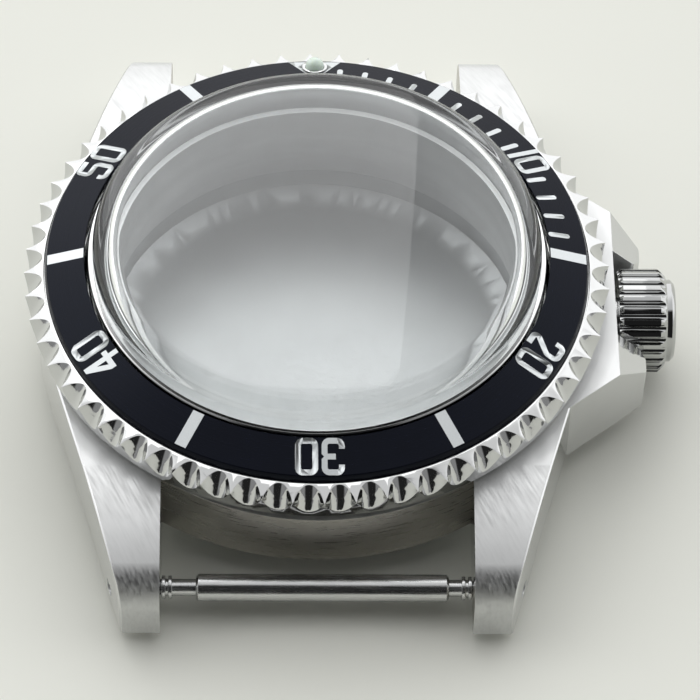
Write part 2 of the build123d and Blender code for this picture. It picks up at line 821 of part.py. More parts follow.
# Luminous pearl in its metal cup, square to the sloping insert
with BuildPart() as pearl_cup:
    with BuildSketch(pearl_plane.offset(glue_gap - insert_thickness)):
        Circle(cup_radius)
    extrude(amount=insert_thickness - glue_gap + cup_rim)
    with BuildSketch(pearl_plane.offset(glue_gap - insert_thickness + cup_floor)):
        Circle(pearl_radius + cup_wall_gap)
    extrude(amount=insert_thickness + cup_rim, mode=Mode.SUBTRACT)
save(pearl_cup.part, "pearl_cup")

pearl_section = Plane(origin=pearl_plane.origin, x_dir=pearl_plane.x_dir, z_dir=-pearl_plane.y_dir)
with BuildPart() as pearl:
    with BuildSketch(pearl_section):
        with BuildLine():
            Line((0, -pearl_depth), (pearl_radius, -pearl_depth))
            Line((pearl_radius, -pearl_depth), (pearl_radius, cup_rim))
            RadiusArc(
                (pearl_radius, cup_rim),
                (0, pearl_crown),
                -(pearl_radius**2 + (pearl_crown - cup_rim) ** 2) / (2 * (pearl_crown - cup_rim)),
            )
            Line((0, pearl_crown), (0, -pearl_depth))
        make_face()
    revolve(axis=Axis(pearl_plane.origin, pearl_plane.z_dir))
save(pearl.part, "pearl")

# Crown tube, pressed into the case and threaded outside it
grooves = [boss_reach + tube_groove_first + step * tube_groove_pitch for step in range(2)]
with BuildPart() as crown_tube:
    with BuildSketch(crown_plane):
        Polygon(
            (tube_inner_end + seat_gap, tube_bore_radius),
            (tube_end, tube_bore_radius),
            (tube_end, tube_thread_radius),
            (boss_reach + seat_gap, tube_thread_radius),
            (boss_reach + seat_gap, tube_body_radius),
            (tube_inner_end + seat_gap, tube_body_radius),
        )
        for groove in grooves:
            with Locations((groove, (tube_bore_radius + tube_groove_radius) / 2)):
                Rectangle(
                    tube_groove_width, tube_groove_radius - tube_bore_radius, mode=Mode.SUBTRACT
                )
    revolve(axis=crown_axis)
save(crown_tube.part, "crown_tube")

with BuildPart() as crown_tube_gaskets:
    with BuildSketch(crown_plane):
        for groove in grooves:
            with Locations((groove, tube_groove_radius - press_gap - tube_gasket_wire / 2)):
                Circle(tube_gasket_wire / 2)
    revolve(axis=crown_axis)
save(crown_tube_gaskets.part, "crown_tube_gaskets")

# Crown: fluted cap with a bare end disc, threaded core, sprung post, washer and gasket
with BuildPart() as crown_cap:
    with BuildSketch(crown_plane):
        Polygon(
            (crown_inner_end, core_radius + press_gap),
            (crown_inner_end, crown_radius - crown_edge_bevel),
            (crown_inner_end + crown_edge_bevel, crown_radius),
            (crown_barrel_end - crown_edge_bevel, crown_radius),
            (crown_barrel_end + crown_step_length, crown_step_radius),
            (crown_barrel_end + crown_step_length, crown_disc_radius),
            (crown_end - crown_disc_bevel, crown_disc_radius),
            (crown_end, crown_disc_radius - crown_disc_bevel),
            (crown_end, 0),
            (chamber_end, 0),
            (chamber_end, chamber_radius),
            (core_end + seat_gap, chamber_radius),
            (core_end + seat_gap, core_radius + press_gap),
        )
    revolve(axis=crown_axis)
    with BuildSketch(crown_section.offset(crown_inner_end - overrun)):
        with PolarLocations(crown_radius - flute_depth + flute_radius, flute_count):
            Circle(flute_radius)
        with PolarLocations(crown_radius + flute_radius, flute_count):
            Rectangle(flute_depth * 2, flute_radius * 2)
    extrude(amount=crown_barrel_end + overrun - crown_inner_end + crown_step_length, mode=Mode.SUBTRACT)
save(crown_cap.part, "crown_cap")

with BuildPart() as crown_core:
    with BuildSketch(crown_plane):
        Polygon(
            (crown_inner_end + core_start_gap, tube_thread_radius + running_gap),
            (crown_inner_end + core_start_gap, core_radius),
            (core_end, core_radius),
            (core_end, chamber_radius),
            (washer_front + crown_washer_thickness + seat_gap, chamber_radius),
            (washer_front + crown_washer_thickness + seat_gap, tube_thread_radius + running_gap),
        )
    revolve(axis=crown_axis)
save(crown_core.part, "crown_core")

with BuildPart() as crown_post:
    with BuildSketch(crown_plane):
        Polygon(
            (post_inner_end, post_tap_radius),
            (post_inner_end, post_radius),
            (head_front, post_radius),
            (head_front, post_head_radius),
            (head_back, post_head_radius),
            (head_back, 0),
            (post_inner_end + post_tap_length, 0),
            (post_inner_end + post_tap_length, post_tap_radius),
        )
    revolve(axis=crown_axis)
save(crown_post.part, "crown_post")

with BuildPart() as crown_spring:
    with BuildSketch(crown_section.offset(head_back + seat_gap)):
        Circle(chamber_radius - running_gap * 2)
        Circle(chamber_radius - running_gap * 2 - crown_spring_wall, mode=Mode.SUBTRACT)
    extrude(amount=chamber_end - head_back - seat_gap * 2)
save(crown_spring.part, "crown_spring")

with BuildPart() as crown_gasket:
    with BuildSketch(crown_section.offset(gasket_front)):
        Circle(tube_thread_radius)
        Circle(tube_bore_radius, mode=Mode.SUBTRACT)
    extrude(amount=crown_gasket_thickness)
save(crown_gasket.part, "crown_gasket")

with BuildPart() as crown_washer:
    with BuildSketch(crown_section.offset(washer_front)):
        Circle(tube_thread_radius)
        Circle(post_radius + running_gap, mode=Mode.SUBTRACT)
    extrude(amount=crown_washer_thickness)
save(crown_washer.part, "crown_washer")


# Spring bars: a tube, two flanged pins and the spring between them
def bar_frame(side):
    """Section plane and axis of the spring bar at 12 o'clock (side 1) or 6 o'clock (side -1)."""
    origin = (0, side * bar_axis_reach, bar_axis_height)
    return Plane(origin=origin, x_dir=(1, 0, 0), z_dir=(0, -1, 0)), Axis(origin, (1, 0, 0))


def bar_tube(side):
    """The tube, with its ends turned in to keep the pins."""
    plane, axis = bar_frame(side)
    start = bar_tube_shift - bar_tube_length / 2
    end = bar_tube_shift + bar_tube_length / 2
    with BuildPart() as piece:
        with BuildSketch(plane):
            Polygon(
                (start, bar_lip_radius),
                (start, bar_tube_radius - bar_tube_edge),
                (start + bar_tube_edge, bar_tube_radius),
                (end - bar_tube_edge, bar_tube_radius),
                (end, bar_tube_radius - bar_tube_edge),
                (end, bar_lip_radius),
                (end - bar_lip_length, bar_lip_radius),
                (end - bar_lip_length, bar_tube_bore_radius),
                (start + bar_lip_length, bar_tube_bore_radius),
                (start + bar_lip_length, bar_lip_radius),
            )
        revolve(axis=axis)
    return piece.part


def bar_pin(side, hand):
    """One pin, towards +X (hand 1) or -X (hand -1): tip, double flange, shaft and inner head."""
    plane, axis = bar_frame(side)
    flange_face = lug_gap / 2 - pin_flange_gap
    groove = pin_flange_length * pin_flange_groove_share
    land = (pin_flange_length - groove) / 2
    tip = flange_face + pin_tip_length
    inner = bar_spring_length / 2 + hand * bar_tube_shift + seat_gap
    outline = [
        (tip, 0),
        (tip, pin_tip_radius - pin_tip_chamfer),
        (tip - pin_tip_chamfer, pin_tip_radius),
        (flange_face, pin_tip_radius),
        (flange_face, pin_flange_radius),
        (flange_face - land, pin_flange_radius),
        (flange_face - land, pin_flange_waist_radius),
        (flange_face - land - groove, pin_flange_waist_radius),
        (flange_face - land - groove, pin_flange_radius),
        (flange_face - pin_flange_length, pin_flange_radius),
        (flange_face - pin_flange_length, pin_radius),
        (inner + pin_head_length, pin_radius),
        (inner + pin_head_length, pin_head_radius),
        (inner, pin_head_radius),
        (inner, 0),
    ]
    with BuildPart() as piece:
        with BuildSketch(plane):
            Polygon(*[(hand * x, y) for x, y in outline])
        revolve(axis=axis)
    return piece.part


def helix_point(turn, radius, pitch, start, centre):
    """Point and direction of a coil along X, after a number of turns."""
    angle = 2 * pi * turn
    point = Vector(start + pitch * turn, centre[0] + radius * cos(angle), centre[1] + radius * sin(angle))
    direction = Vector(pitch / (2 * pi), -radius * sin(angle), radius * cos(angle))
    return point, direction.normalized()


def biarc_joint(first, second):
    """Point and direction where two arcs meet that join two points along their given directions."""
    (p, p_way), (q, q_way) = first, second
    chord = q - p
    ways = p_way + q_way
    spread = 2 * (1 - p_way.dot(q_way))
    reach = (sqrt(chord.dot(ways) ** 2 + spread * chord.dot(chord)) - chord.dot(ways)) / spread
    before, after = p + p_way * reach, q - q_way * reach
    return (before + after) * 0.5, (after - before).normalized()


def bar_spring(side):
    """The coil between the pin heads, wound from quarter-turn pairs of arcs."""
    centre = (side * bar_axis_reach, bar_axis_height)
    start = bar_tube_shift - bar_spring_length / 2 + bar_spring_wire / 2 + seat_gap
    pitch = (bar_spring_length - bar_spring_wire - seat_gap * 2) / bar_spring_turns
    stations = [
        helix_point(step / 4, bar_spring_coil_radius, pitch, start, centre)
        for step in range(bar_spring_turns * 4 + 1)
    ]
    with BuildPart() as piece:
        with BuildLine():
            for first, second in zip(stations, stations[1:]):
                joint, joint_way = biarc_joint(first, second)
                TangentArc(first[0], joint, tangent=first[1])
                TangentArc(joint, second[0], tangent=joint_way)
        with BuildSketch(Plane(origin=stations[0][0], z_dir=stations[0][1])):
            Circle(bar_spring_wire / 2)
        sweep()
    return piece.part, pitch - bar_spring_wire


for side, hour in ((-1, 6), (1, 12)):
    save(bar_tube(side), f"spring_bar_tube_{hour}")
    save(bar_pin(side, -1), f"spring_bar_left_pin_{hour}")
    save(bar_pin(side, 1), f"spring_bar_right_pin_{hour}")
    coil, coil_gap = bar_spring(side)
    save(coil, f"spring_bar_spring_{hour}")
    print(f"spring at {hour} o'clock: gap between its turns {coil_gap:.2f} mm")
print(f"case back turns {back_travel / back_thread_pitch:.2f} times over {back_travel} mm")
print(f"crown turns {crown_travel / crown_thread_pitch:.2f} times over {crown_travel} mm")
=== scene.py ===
"""An empty diver's watch case on a pale studio floor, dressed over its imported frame.

Metres. Z is up through the crystal, X points at the crown (3 o'clock) and Y at 12 o'clock.
Run as a script, it builds every piece in turn. Each piece also has its own button in the sidebar.
"""
import math

import bpy
from bpy.props import FloatProperty, FloatVectorProperty, PointerProperty
from mathutils import Matrix, Vector


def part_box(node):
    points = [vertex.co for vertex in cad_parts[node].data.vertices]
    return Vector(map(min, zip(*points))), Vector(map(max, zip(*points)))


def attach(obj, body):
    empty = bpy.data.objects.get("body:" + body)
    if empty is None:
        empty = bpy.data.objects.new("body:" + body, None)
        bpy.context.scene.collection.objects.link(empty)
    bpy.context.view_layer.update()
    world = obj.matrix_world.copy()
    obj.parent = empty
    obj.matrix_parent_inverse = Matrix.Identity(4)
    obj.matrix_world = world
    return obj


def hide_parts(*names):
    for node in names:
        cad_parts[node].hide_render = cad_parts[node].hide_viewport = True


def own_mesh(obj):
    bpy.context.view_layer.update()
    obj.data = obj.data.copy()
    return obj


bl_info = {
    "name": "Diver's Watch Case",
    "version": (1, 0, 0),
    "blender": (4, 5, 0),
    "location": "View3D > Sidebar > Watch Case",
    "description": "Builds an empty watch case with its bezel, crystal, crown and spring bars",
    "category": "Add Mesh",
}

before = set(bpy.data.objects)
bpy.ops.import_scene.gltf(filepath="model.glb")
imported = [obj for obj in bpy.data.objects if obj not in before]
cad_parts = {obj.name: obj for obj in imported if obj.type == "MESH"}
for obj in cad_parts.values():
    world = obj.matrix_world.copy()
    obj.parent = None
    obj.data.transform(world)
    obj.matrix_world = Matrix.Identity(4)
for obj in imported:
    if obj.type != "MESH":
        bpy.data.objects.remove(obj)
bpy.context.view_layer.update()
MM = 0.001

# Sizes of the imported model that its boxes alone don't give
RIDGE_WIDTH = 0.36 * MM
INSERT_GAP = 0.21 * MM
INSERT_THICKNESS = 0.50 * MM
LUG_INNER_FACE = 10.0 * MM
CROWN_HEIGHT = 4.2 * MM

# Rounding of the small pieces' edges
SMALL_BREAK = 0.03 * MM
FINE_BREAK = 0.02 * MM
CRYSTAL_BREAK = 0.05 * MM

# Angles above which an edge is rounded, or stays a crease
SCALLOP_ANGLE = math.radians(20)
BODY_ANGLE = math.radians(24)
FLUTE_ANGLE = math.radians(26)
PART_ANGLE = math.radians(30)
SEAL_ANGLE = math.radians(40)
DOME_ANGLE = math.radians(50)

# Steps round a turned piece, and along each arc of the dome
CRYSTAL_STEPS = 256
INSERT_STEPS = 360
ARC_STEPS = 16

# Material slots of the body. Its bore ends this far outside the crystal, a top face's normal
# has at least this much of Z, and a polished side's normal has more than this much of X
# The FLANK slot, between the lugs, gets a darker, browner steel: painted shade of the shadowed
# floor it reflects
SATIN, POLISH, BORE, FLANK = range(4)
BORE_MARGIN = 0.5 * MM
TOP_FACE = 0.75
SIDE_FACE = 0.4

# Material slot of the crystal ring's inner faces, which carry a painted highlight, and how far
# outwards their normals point at most
RING_SATIN_HIGHLIGHT = 1
INWARD_FACE = -0.5

# Grain of the finishes, in noise cells per metre along X, Y and Z
BODY_BRUSHING = (7000.0, 450.0, 2500.0)
BODY_BRUSHING_TURN = math.radians(-28)
FLANK_BRUSHING = (600.0, 600.0, 7000.0)
BAR_BRUSHING = (400.0, 9000.0, 9000.0)
HAIRLINES = (9000.0, 1500.0, 3000.0)
FINE_GRAIN = (9000.0, 9000.0, 9000.0)
RING_GRAIN = (2000.0, 2000.0, 2000.0)
SPRING_GRAIN = (3000.0, 3000.0, 3000.0)
SILVER_GRAIN = (14000.0, 14000.0, 14000.0)
PAINT_GRAIN = (5000.0, 5000.0, 5000.0)

# Lamps: name, place, the point it is aimed at, width, height and power in watts
LAMPS = (
    ("back_softbox", (-0.12, 0.30, 0.37), (-0.12, 0, 0.005), 0.40, 0.42, 0.42),
    ("left_softbox", (-0.42, 0.10, 0.24), (0, 0, 0.005), 0.16, 0.20, 0.08),
)

# Side of the floor in metres, width of the camera's sensor in millimetres, and the nearest and
# farthest distance that the camera sees, in metres
FLOOR_SIZE = 4.0
SENSOR_WIDTH = 36.0
NEAREST, FARTHEST = 0.01, 10.0


def reach(node, axis, side=1):
    """Highest (side 1) or lowest (side 0) place of a CAD node along an axis, in metres."""
    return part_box(node)[side][axis]


# Settings

class CaseSettings(bpy.types.PropertyGroup):
    """Sizes and finishes of the steel body, back and crown."""

    steel: FloatVectorProperty(
        name="Steel",
        description="Colour of the bare steel",
        subtype="COLOR",
        default=(0.66, 0.665, 0.66),
    )
    # Painted shade: darker and browner than the body's steel, standing for the shadowed floor
    # reflected between the lugs
    flank_shade_steel: FloatVectorProperty(
        name="Flank steel",
        description="Colour of the satin steel between the lugs",
        subtype="COLOR",
        default=(0.50, 0.48, 0.44),
    )
    # Painted highlight: brighter than bare steel, so the ring's inner face shows as a white
    # crescent through the crystal
    ring_highlight_steel: FloatVectorProperty(
        name="Ring steel",
        description="Colour of the satin inner face of the crystal's ring",
        subtype="COLOR",
        default=(0.92, 0.93, 0.93),
    )
    crown_steel: FloatVectorProperty(
        name="Crown steel",
        description="Colour of the crown's steel",
        subtype="COLOR",
        default=(0.50, 0.505, 0.50),
    )
    back_steel: FloatVectorProperty(
        name="Back steel",
        description="Colour of the rougher steel of the case back",
        subtype="COLOR",
        default=(0.47, 0.48, 0.48),
    )
    brushed_roughness: FloatProperty(
        name="Brushed roughness",
        description="Roughness of the satin faces",
        default=0.48,
        min=0.0,
        max=1.0,
    )
    polished_roughness: FloatProperty(
        name="Polished roughness",
        description="Roughness of the mirror-polished faces",
        default=0.06,
        min=0.0,
        max=1.0,
    )
    edge_break: FloatProperty(
        name="Edge break",
        description="Width of the tiny rounding on the body's edges",
        default=0.05 * MM,
        unit="LENGTH",
    )


class BezelSettings(bpy.types.PropertyGroup):
    """Sizes and finishes of the turning bezel and its insert."""

    edge_break: FloatProperty(
        name="Edge break",
        description="Width of the tiny rounding on the bezel's edges",
        default=0.04 * MM,
        unit="LENGTH",
    )
    face_slope: FloatProperty(
        name="Insert slope",
        description="Fall of the insert's face toward its outer edge",
        subtype="ANGLE",
        default=math.radians(18.1),
    )
    edge_width: FloatProperty(
        name="Insert edge width",
        description="Width of the steep chamfer at the insert's outer edge",
        default=0.14 * MM,
        unit="LENGTH",
    )
    edge_drop: FloatProperty(
        name="Insert edge drop",
        description="Height of the steep chamfer at the insert's outer edge",
        default=0.40 * MM,
        unit="LENGTH",
    )
    mark_relief: FloatProperty(
        name="Mark relief",
        description="How far the marks stand above the insert's face",
        default=0.012 * MM,
        unit="LENGTH",
    )
    insert_colour: FloatVectorProperty(
        name="Insert",
        description="Colour of the insert",
        subtype="COLOR",
        default=(0.0018, 0.0022, 0.0060),
    )
    mark_colour: FloatVectorProperty(
        name="Marks",
        description="Colour of the numerals, bars and ticks",
        subtype="COLOR",
        default=(0.62, 0.645, 0.65),
    )
    pearl_colour: FloatVectorProperty(
        name="Pearl",
        description="Colour of the luminous dot",
        subtype="COLOR",
        default=(0.74, 0.86, 0.76),
    )


class CrystalSettings(bpy.types.PropertyGroup):
    """Sizes and finish of the domed crystal."""

    dome_radius: FloatProperty(
        name="Dome radius",
        description="Radius of the shallow dome",
        unit="LENGTH",
        default=76.0 * MM,
    )
    shoulder: FloatProperty(
        name="Shoulder",
        description="Radius of the rounded edge between the wall and the dome",
        unit="LENGTH",
        default=1.4 * MM,
    )
    thickness: FloatProperty(
        name="Thickness",
        description="Thickness of the wall and the dome",
        unit="LENGTH",
        default=1.06 * MM,
    )
    inner_shoulder: FloatProperty(
        name="Inner shoulder",
        description="Radius of the rounded inside corner",
        unit="LENGTH",
        default=1.0 * MM,
    )
    tint: FloatVectorProperty(
        name="Tint",
        description="Colour that light takes on in the crystal",
        subtype="COLOR",
        default=(0.97, 0.985, 0.985),
    )
    index: FloatProperty(
        name="Refractive index",
        description="How strongly the crystal bends light",
        default=1.49,
        min=1.0,
    )


class StageSettings(bpy.types.PropertyGroup):
    """Floor, lamps and camera."""

    floor_colour: FloatVectorProperty(
        name="Floor",
        description="Colour of the floor",
        subtype="COLOR",
        default=(0.87, 0.875, 0.80),
    )
    back_light: FloatProperty(
        name="Back light",
        description="Brightness of the studio behind the object and at its sides",
        default=1.50,
        min=0.0,
    )
    front_light: FloatProperty(
        name="Front light",
        description="Brightness of the studio on the camera's side",
        default=0.30,
        min=0.0,
    )
    overhead_light: FloatProperty(
        name="Overhead light",
        description="Brightness of the studio straight above the object",
        default=0.85,
        min=0.0,
    )
    dark_card: FloatProperty(
        name="Dark card",
        description="Brightness of the dark card in front, where the camera stands",
        default=0.02,
        min=0.0,
    )
    lens: FloatProperty(
        name="Lens",
        description="Focal length of the camera, in millimetres on a 36 mm frame",
        default=216.05,
        min=1.0,
    )
    distance: FloatProperty(
        name="Distance",
        description="From the camera to its target",
        unit="LENGTH",
        default=273.07 * MM,
    )
    azimuth: FloatProperty(
        name="Azimuth",
        description="Direction that the camera looks from, counted from 6 o'clock",
        subtype="ANGLE",
        default=math.radians(-1.73),
    )
    elevation: FloatProperty(
        name="Elevation",
        description="Height of the camera above the horizon",
        subtype="ANGLE",
        default=math.radians(51.245),
    )
    roll: FloatProperty(
        name="Roll",
        description="Turn of the camera about its own axis",
        subtype="ANGLE",
        default=math.radians(1.613),
    )
    target: FloatVectorProperty(
        name="Target",
        description="Point that the camera looks at",
        subtype="TRANSLATION",
        default=(2.13 * MM, -6.34 * MM, 8.8 * MM),
    )


def settings():
    """The four groups of settings: case, bezel, crystal and stage."""
    scene = bpy.context.scene
    return scene.watch_case, scene.watch_bezel, scene.watch_crystal, scene.watch_stage


# Modelling helpers

def deselect_all():
    """Leaves object mode with nothing selected."""
    if bpy.context.object and bpy.context.object.mode != "OBJECT":
        bpy.ops.object.mode_set(mode="OBJECT")
    bpy.ops.object.select_all(action="DESELECT")


def choose(piece):
    """Selects one object alone and makes it active."""
    deselect_all()
    piece.select_set(True)
    bpy.context.view_layer.objects.active = piece


def lathe(name, outline, steps):
    """A solid of revolution: draws an outline point by point and spins it round the Z axis."""
    deselect_all()
    start = Vector(outline[0])
    bpy.ops.mesh.primitive_plane_add(size=MM, location=start)
    piece = bpy.context.object
    piece.name = name
    bpy.ops.object.transform_apply(location=True)
    bpy.ops.object.mode_set(mode="EDIT")
    bpy.ops.mesh.select_all(action="SELECT")
    bpy.ops.mesh.merge(type="CENTER")
    bpy.ops.mesh.select_mode(type="VERT")
    for point in outline[1:]:
        step = Vector(point) - start
        bpy.ops.mesh.extrude_region_move(TRANSFORM_OT_translate={"value": step})
        start = Vector(point)
    bpy.ops.mesh.select_all(action="SELECT")
    bpy.ops.mesh.spin(steps=steps, angle=2 * math.pi, center=(0, 0, 0), axis=(0, 0, 1))
    bpy.ops.mesh.select_all(action="SELECT")
    bpy.ops.mesh.remove_doubles(threshold=MM / 1000)
    bpy.ops.mesh.normals_make_consistent(inside=False)
    bpy.ops.object.mode_set(mode="OBJECT")
    return piece


def copy_of(node, name):
    """A fine copy of a CAD node, with its loose triangles joined into one skin."""
    deselect_all()
    piece = bpy.data.objects.new(name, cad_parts[node].data.copy())
    bpy.context.scene.collection.objects.link(piece)
    piece.data.materials.clear()
    choose(piece)
    bpy.ops.object.mode_set(mode="EDIT")
    bpy.ops.mesh.select_all(action="SELECT")
    bpy.ops.mesh.remove_doubles(threshold=MM / 1000)
    bpy.ops.mesh.dissolve_limited(angle_limit=math.radians(0.5))
    bpy.ops.object.mode_set(mode="OBJECT")
    return piece


def break_edges(piece, width, angle):
    """Rounds every edge sharper than an angle by a small width."""
    choose(piece)
    bevel = piece.modifiers.new("Edge break", "BEVEL")
    bevel.width = width
    bevel.segments = 2
    bevel.limit_method = "ANGLE"
    bevel.angle_limit = angle
    bevel.harden_normals = False
    bpy.ops.object.modifier_apply(modifier=bevel.name)


def smooth(piece, angle):
    """Shades a piece smooth up to an angle, with its large faces kept flat."""
    choose(piece)
    bpy.ops.object.shade_smooth_by_angle(angle=angle)
    weighted = piece.modifiers.new("Even shading", "WEIGHTED_NORMAL")
    weighted.keep_sharp = True
    bpy.ops.object.modifier_apply(modifier=weighted.name)


def place(piece, body, materials, node):
    """Gives a piece its materials and its body, and hides the CAD node that it stands for."""
    for material in materials:
        piece.data.materials.append(material)
    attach(piece, body)
    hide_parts(node)


def half_spring(node, side, body, finish):
    """Half a coil that is pressed from both ends, cut off at its middle, with a mesh of its own.
    """
    half = copy_of(node, f"{node}_{side}_half")
    low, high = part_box(node)
    middle = (low.x + high.x) / 2
    bpy.ops.object.mode_set(mode="EDIT")
    bpy.ops.mesh.select_all(action="SELECT")
    bpy.ops.mesh.bisect(
        plane_co=(middle, 0, 0),
        plane_no=(1 if side == "left" else -1, 0, 0),
        use_fill=True,
        clear_outer=True,
    )
    bpy.ops.object.mode_set(mode="OBJECT")
    smooth(half, PART_ANGLE)
    place(half, body, [finish], node)
    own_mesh(half)


def dome_arc(wall, apex, dome, shoulder):
    """Points (radius, height) from a wall's top, over a rounded shoulder, to a dome's middle."""
    centre_radius = wall - shoulder
    centre_drop = math.sqrt((dome - shoulder) ** 2 - centre_radius**2)
    centre_height = apex - dome + centre_drop
    spread = math.acos(centre_radius / (dome - shoulder))
    points = []
    for step in range(ARC_STEPS + 1):
        angle = spread * step / ARC_STEPS
        radius = centre_radius + shoulder * math.cos(angle)
        points.append((radius, centre_height + shoulder * math.sin(angle)))
    rim = points[-1][0]
    for step in range(1, ARC_STEPS + 1):
        radius = rim * (1 - step / ARC_STEPS)
        points.append((radius, apex - dome + math.sqrt(dome**2 - radius**2)))
    return points


# Materials

def new_material(name):
    """A new node material, its nodes, its links and its shader."""
    material = bpy.data.materials.new(name)
    material.use_nodes = True
    tree = material.node_tree
    return material, tree.nodes, tree.links, tree.nodes["Principled BSDF"]


def stretched_noise(nodes, links, scale, detail=4.0, turn=0.0):
    """Noise on Object coordinates, turned about Z. Its scale is in cells per metre, by axis."""
    coordinates = nodes.new("ShaderNodeTexCoord")
    turned = nodes.new("ShaderNodeMapping")
    turned.inputs["Rotation"].default_value = (0.0, 0.0, turn)
    mapping = nodes.new("ShaderNodeMapping")
    mapping.inputs["Scale"].default_value = scale
    noise = nodes.new("ShaderNodeTexNoise")
    noise.inputs["Scale"].default_value = 1.0
    noise.inputs["Detail"].default_value = detail
    links.new(coordinates.outputs["Object"], turned.inputs["Vector"])
    links.new(turned.outputs["Vector"], mapping.inputs["Vector"])
    links.new(mapping.outputs["Vector"], noise.inputs["Vector"])
    return noise


def ring_noise(nodes, links, across, along, centre, axis):
    """Noise in fine rings round an axis, in cells per metre of radius and per metre of height."""
    coordinates = nodes.new("ShaderNodeTexCoord")
    mapping = nodes.new("ShaderNodeMapping")
    mapping.inputs["Location"].default_value = [-c for c in centre]
    split = nodes.new("ShaderNodeSeparateXYZ")
    links.new(coordinates.outputs["Object"], mapping.inputs["Vector"])
    links.new(mapping.outputs["Vector"], split.inputs["Vector"])
    first, second = (name for name in "XYZ" if name != axis)
    flat = nodes.new("ShaderNodeCombineXYZ")
    links.new(split.outputs[first], flat.inputs["X"])
    links.new(split.outputs[second], flat.inputs["Y"])
    length = nodes.new("ShaderNodeVectorMath")
    length.operation = "LENGTH"
    links.new(flat.outputs["Vector"], length.inputs[0])
    ring = nodes.new("ShaderNodeCombineXYZ")
    links.new(length.outputs["Value"], ring.inputs["X"])
    links.new(split.outputs[axis], ring.inputs["Y"])
    stretch = nodes.new("ShaderNodeMapping")
    stretch.inputs["Scale"].default_value = (across, along, 1.0)
    links.new(ring.outputs["Vector"], stretch.inputs["Vector"])
    noise = nodes.new("ShaderNodeTexNoise")
    noise.inputs["Scale"].default_value = 1.0
    noise.inputs["Detail"].default_value = 3.0
    links.new(stretch.outputs["Vector"], noise.inputs["Vector"])
    return noise


def spread_value(nodes, links, source, low, high):
    """Maps a noise's middle range to values from low to high."""
    spread = nodes.new("ShaderNodeMapRange")
    spread.inputs["From Min"].default_value = 0.3
    spread.inputs["From Max"].default_value = 0.7
    spread.inputs["To Min"].default_value = low
    spread.inputs["To Max"].default_value = high
    links.new(source.outputs["Fac"], spread.inputs["Value"])
    return spread.outputs["Result"]


def ramp(nodes, links, source, start, end, low, high):
    """Turns a value smoothly from low at its start to high at its end."""
    step = nodes.new("ShaderNodeMapRange")
    step.interpolation_type = "SMOOTHSTEP"
    step.inputs["From Min"].default_value = start
    step.inputs["From Max"].default_value = end
    step.inputs["To Min"].default_value = low
    step.inputs["To Max"].default_value = high
    links.new(source, step.inputs["Value"])
    return step.outputs["Result"]


def multiply(nodes, links, first, second):
    """The product of two values."""
    product = nodes.new("ShaderNodeMath")
    product.operation = "MULTIPLY"
    links.new(first, product.inputs[0])
    links.new(second, product.inputs[1])
    return product.outputs[0]


def blend_levels(nodes, links, level, other, share):
    """Goes from a level to another, fixed one, by a share from 0 to 1."""
    blend = nodes.new("ShaderNodeMapRange")
    blend.inputs["From Min"].default_value = 0.0
    blend.inputs["From Max"].default_value = 1.0
    blend.inputs["To Max"].default_value = other
    links.new(share, blend.inputs["Value"])
    links.new(level, blend.inputs["To Min"])
    return blend.outputs["Result"]


def relief(nodes, links, source, shader, strength, depth):
    """Lets a noise raise the surface by a depth in metres."""
    bump = nodes.new("ShaderNodeBump")
    bump.inputs["Strength"].default_value = strength
    bump.inputs["Distance"].default_value = depth
    links.new(source.outputs["Fac"], bump.inputs["Height"])
    links.new(bump.outputs["Normal"], shader.inputs["Normal"])


def shaded_colour(nodes, links, source, shader, colour, darker):
    """Varies a colour between a darker share of it and the colour itself."""
    mix = nodes.new("ShaderNodeMix")
    mix.data_type = "RGBA"
    mix.inputs["A"].default_value = (*[c * darker for c in colour], 1.0)
    mix.inputs["B"].default_value = (*colour, 1.0)
    spread = spread_value(nodes, links, source, 0.0, 1.0)
    links.new(spread, mix.inputs["Factor"])
    links.new(mix.outputs["Result"], shader.inputs["Base Color"])


def brushed_steel(name, colour, roughness, scale, depth=0.004 * MM, turn=0.0):
    """Satin steel with straight fine brushing, or an even grain where its scale is even."""
    material, nodes, links, shader = new_material(name)
    shader.inputs["Metallic"].default_value = 1.0
    strokes = stretched_noise(nodes, links, scale, turn=turn)
    clouds = stretched_noise(nodes, links, (300.0, 300.0, 300.0), detail=2.0)
    shaded_colour(nodes, links, clouds, shader, colour, darker=0.93)
    links.new(
        spread_value(nodes, links, strokes, roughness * 0.75, roughness * 1.3),
        shader.inputs["Roughness"],
    )
    relief(nodes, links, strokes, shader, strength=0.5, depth=depth)
    return material


def turned_steel(name, colour, roughness, rings_per_metre, centre=(0, 0, 0), axis="Z"):
    """Steel with fine turning rings round an axis."""
    material, nodes, links, shader = new_material(name)
    shader.inputs["Metallic"].default_value = 1.0
    rings = ring_noise(nodes, links, rings_per_metre, rings_per_metre, centre, axis)
    clouds = stretched_noise(nodes, links, (400.0, 400.0, 400.0), detail=2.0)
    shaded_colour(nodes, links, clouds, shader, colour, darker=0.92)
    links.new(
        spread_value(nodes, links, rings, roughness * 0.7, roughness * 1.3),
        shader.inputs["Roughness"],
    )
    relief(nodes, links, rings, shader, strength=0.4, depth=0.003 * MM)
    return material


def polished_steel(name, colour, roughness):
    """Mirror-polished steel with faint cloudiness and hairline wear."""
    material, nodes, links, shader = new_material(name)
    shader.inputs["Metallic"].default_value = 1.0
    hairlines = stretched_noise(nodes, links, HAIRLINES, detail=6.0)
    clouds = stretched_noise(nodes, links, (250.0, 250.0, 250.0), detail=2.0)
    shaded_colour(nodes, links, clouds, shader, colour, darker=0.96)
    links.new(
        spread_value(nodes, links, hairlines, roughness * 0.7, roughness * 1.6),
        shader.inputs["Roughness"],
    )
    relief(nodes, links, hairlines, shader, strength=0.12, depth=0.001 * MM)
    return material


